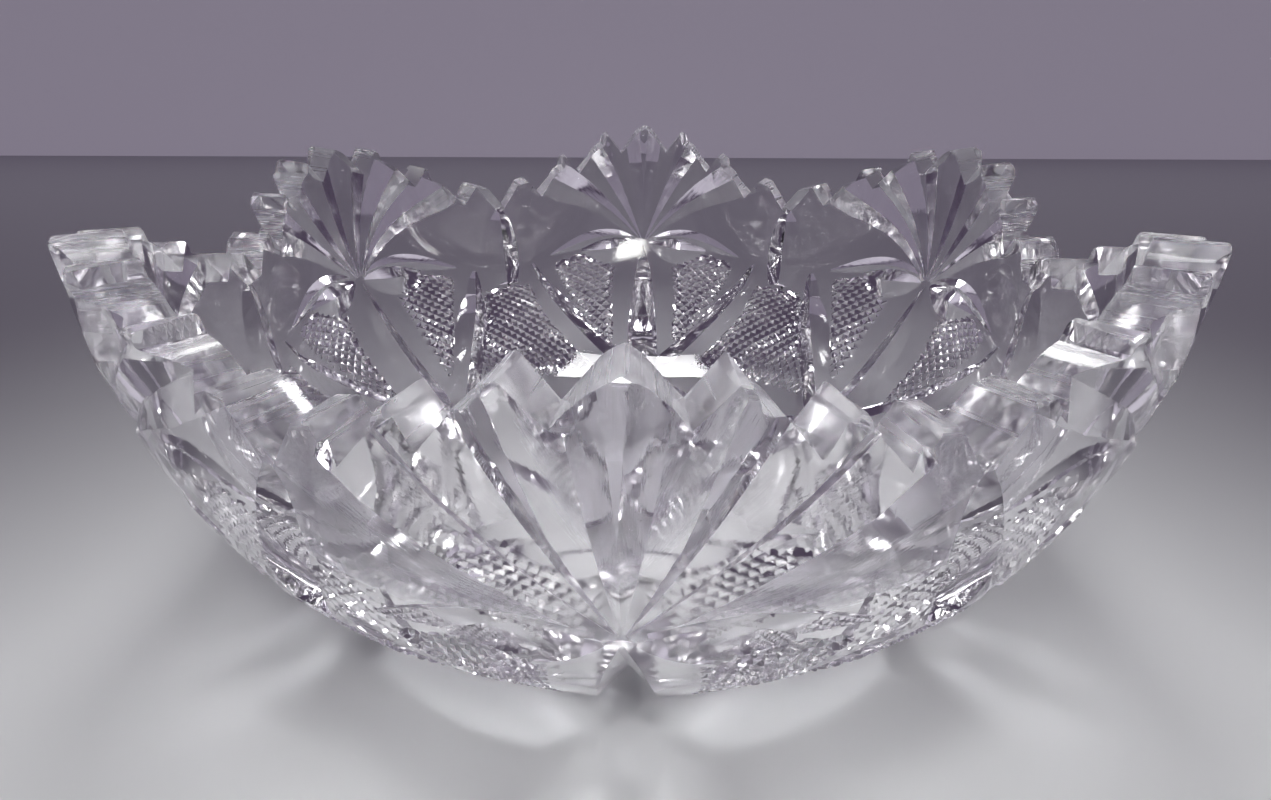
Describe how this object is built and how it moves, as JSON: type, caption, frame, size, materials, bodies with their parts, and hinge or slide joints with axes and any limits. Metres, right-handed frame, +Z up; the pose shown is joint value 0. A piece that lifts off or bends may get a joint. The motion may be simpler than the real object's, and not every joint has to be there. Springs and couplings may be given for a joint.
{
  "type": "cut glass bowl",
  "caption": "Heavy clear cut-glass bowl with a lobed, toothed rim, fan-cut sides and a star-cut underside, open at the top.",
  "frame": {"origin": "centre of the footprint, on the plane the foot rests on", "axes": "+Z up along the bowl's axis, with the middle of one rim lobe towards -Y"},
  "size_m": [0.1882, 0.2048, 0.085],
  "materials": {
    "glass": "clear polished lead glass with sharp wheel-cut facets"
  },
  "bodies": {
    "root": {"bowl": "glass"}
  },
  "joints": []
}
